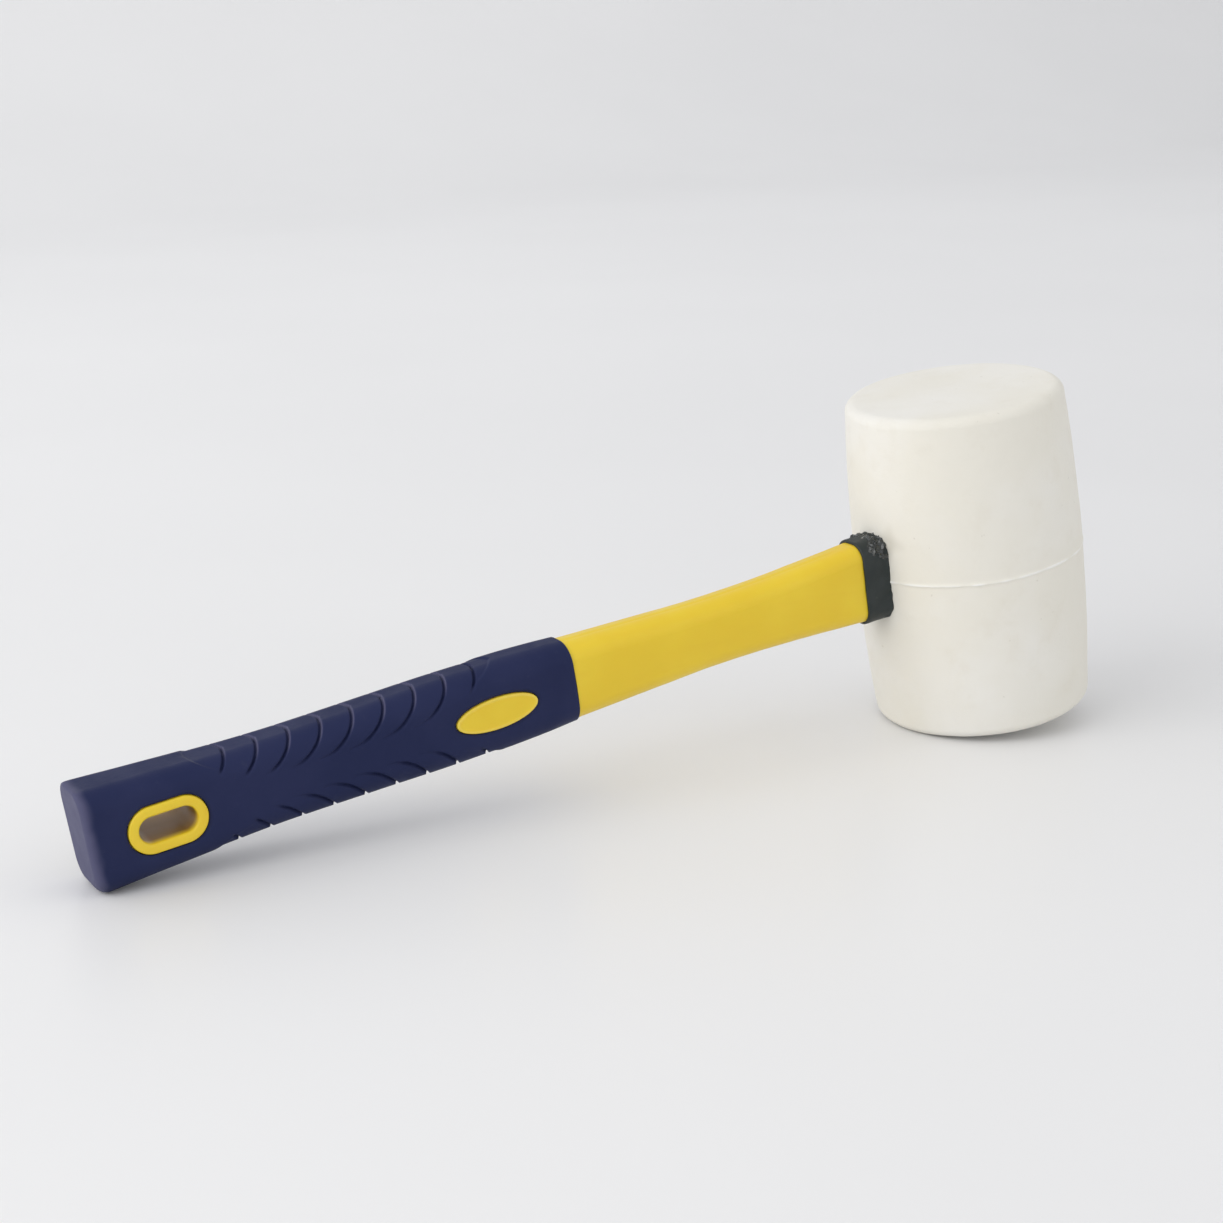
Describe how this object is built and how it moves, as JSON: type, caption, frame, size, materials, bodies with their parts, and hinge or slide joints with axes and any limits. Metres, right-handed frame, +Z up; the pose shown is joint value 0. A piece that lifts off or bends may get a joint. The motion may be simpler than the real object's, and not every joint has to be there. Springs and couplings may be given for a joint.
{
  "type": "rubber mallet",
  "caption": "Barrel-headed white rubber mallet with a moulded yellow handle, dark neck bush and navy soft grip with a hang hole, resting on head rim and butt.",
  "frame": {"origin": "centre of the bounding box's footprint, on the surface that the mallet rests on", "axes": "+Z up with the mallet resting on the lower rim of its head and the lower edge of its butt; the handle points to -X and the head stands at +X; the mallet is symmetric about the XZ plane"},
  "size_m": [0.322, 0.07, 0.1075],
  "materials": {
    "white_rubber": "matte, powdery, off-white moulded rubber",
    "bush_rubber": "satin, dark green-black rubber",
    "adhesive": "glossy black adhesive, crumpled",
    "potting": "glossy poured epoxy",
    "fibreglass": "pultruded glass fibre in resin",
    "yellow_plastic": "semi-gloss moulded polypropylene",
    "navy_grip": "satin navy thermoplastic rubber with moulded grooves"
  },
  "bodies": {
    "root": {"rubber_head": "white_rubber", "eye_bush": "bush_rubber", "adhesive_bead": "adhesive", "eye_potting": "potting", "fibreglass_core": "fibreglass", "handle_jacket": "yellow_plastic", "grip_sleeve": "navy_grip"}
  },
  "joints": []
}
